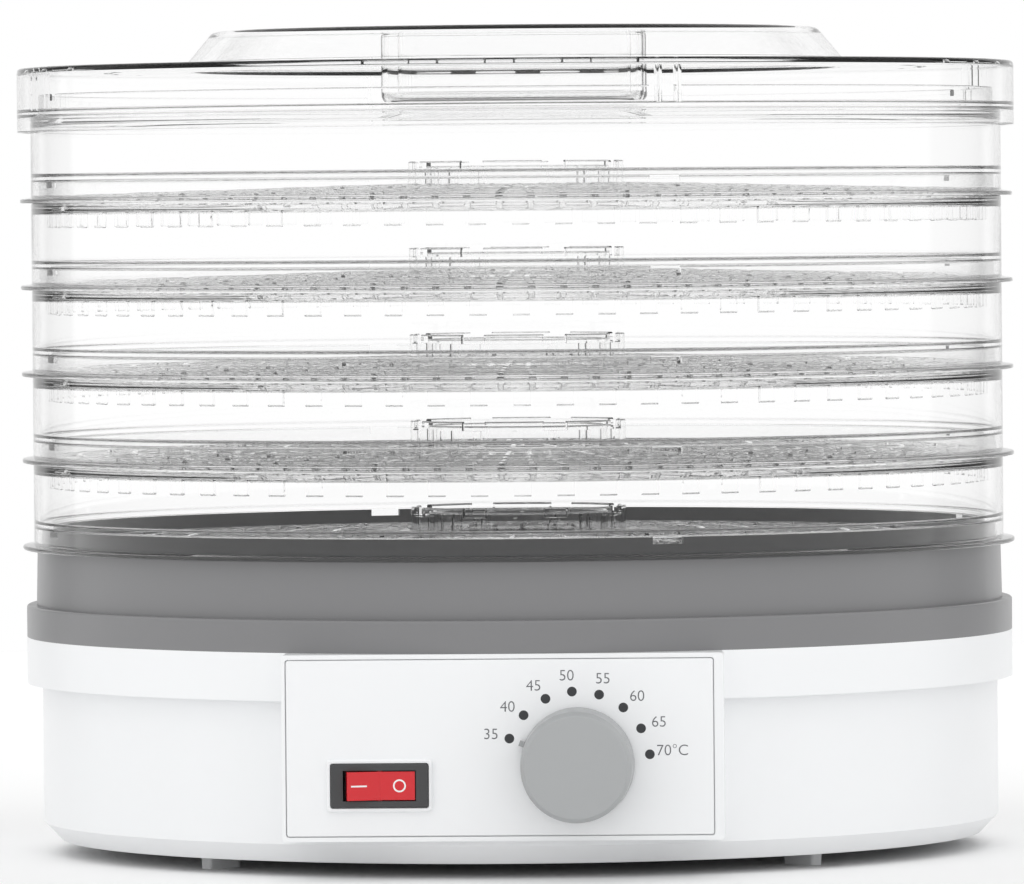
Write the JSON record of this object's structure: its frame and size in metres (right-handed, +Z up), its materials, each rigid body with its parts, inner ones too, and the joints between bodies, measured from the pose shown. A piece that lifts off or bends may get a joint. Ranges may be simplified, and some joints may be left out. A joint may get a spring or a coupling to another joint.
{
  "type": "food dehydrator",
  "caption": "Round countertop food dehydrator: fan-heater base with rocker switch and thermostat knob, clear stacking trays and a clear lid.",
  "frame": {"origin": "on the fan and tray axis, at the height of the surface the feet stand on", "axes": "+Z up along the tray axis; the control panel faces -Y; +X is to the right seen from the front"},
  "size_m": [0.3234, 0.3417, 0.2655],
  "materials": {
    "white_plastic": "satin moulded",
    "grey_plastic": "satin moulded",
    "knob_grey": "satin moulded",
    "dark_plastic": "fine moulded texture",
    "red_lens": "polished translucent",
    "clear_plastic": "polished clear",
    "steel": "plated",
    "galvanised": "galvanised sheet",
    "laminations": "stamped",
    "copper": "enamelled wire",
    "bronze": "sintered",
    "mica": "mica board",
    "resistance_wire": "oxidised",
    "black_rubber": "moulded",
    "glass": "clear",
    "wire_jacket": "insulation",
    "ceramic": "glazed"
  },
  "bodies": {
    "base": {"base_housing": "white_plastic", "control_panel": "white_plastic", "switch_surround": "white_plastic", "switch_housing": "dark_plastic", "neon_lamp": "glass", "switch_terminals": "steel", "thermostat_body": "ceramic", "thermostat_nut": "steel", "bottom_cover": "white_plastic", "feet": "white_plastic", "case_screws": "steel", "top_deck": "grey_plastic", "outlet_grille": "grey_plastic", "grille_screws": "steel", "air_duct": "galvanised", "heater_boards": "mica", "heater_coil": "resistance_wire", "thermal_fuse": "ceramic", "motor_stator": "laminations", "motor_winding": "copper", "motor_brackets": "galvanised", "motor_bushes": "bronze", "motor_screws": "steel", "cord_gland": "black_rubber", "terminal_block": "ceramic", "internal_wires": "wire_jacket"},
    "fan": {"fan_impeller": "dark_plastic", "motor_rotor": "laminations", "motor_shaft": "steel"},
    "knob": {"temperature_knob": "knob_grey", "thermostat_shaft": "steel"},
    "rocker": {"switch_rocker": "red_lens"},
    "lid": {"lid": "clear_plastic"},
    "tray_1": {"tray_1": "clear_plastic"},
    "tray_2": {"tray_2": "clear_plastic"},
    "tray_3": {"tray_3": "clear_plastic"},
    "tray_4": {"tray_4": "clear_plastic"},
    "tray_5": {"tray_5": "clear_plastic"}
  },
  "joints": [
    {"name": "fan_spin", "type": "hinge", "parent": "base", "child": "fan", "pos_m": [0, 0, 0.054], "axis": [0, 0, 1], "continuous": true},
    {"name": "knob_turn", "type": "hinge", "parent": "base", "child": "knob", "pos_m": [0.0231, -0.17, 0.036], "axis": [0, 1, 0], "range_deg": [0, 151.6]},
    {"name": "rocker_tilt", "type": "hinge", "parent": "base", "child": "rocker", "pos_m": [-0.0381, -0.1601, 0.0298], "axis": [0, 0, -1], "range_deg": [0, 18]},
    {"name": "tray_1_lift", "type": "slide", "parent": "base", "child": "tray_1", "axis": [0, 0, 1], "range_m": [0, 0.045]},
    {"name": "tray_2_lift", "type": "slide", "parent": "tray_1", "child": "tray_2", "axis": [0, 0, 1], "range_m": [0, 0.045]},
    {"name": "tray_3_lift", "type": "slide", "parent": "tray_2", "child": "tray_3", "axis": [0, 0, 1], "range_m": [0, 0.045]},
    {"name": "tray_4_lift", "type": "slide", "parent": "tray_3", "child": "tray_4", "axis": [0, 0, 1], "range_m": [0, 0.045]},
    {"name": "tray_5_lift", "type": "slide", "parent": "tray_4", "child": "tray_5", "axis": [0, 0, 1], "range_m": [0, 0.045]},
    {"name": "lid_lift", "type": "slide", "parent": "tray_5", "child": "lid", "axis": [0, 0, 1], "range_m": [0, 0.06]}
  ]
}
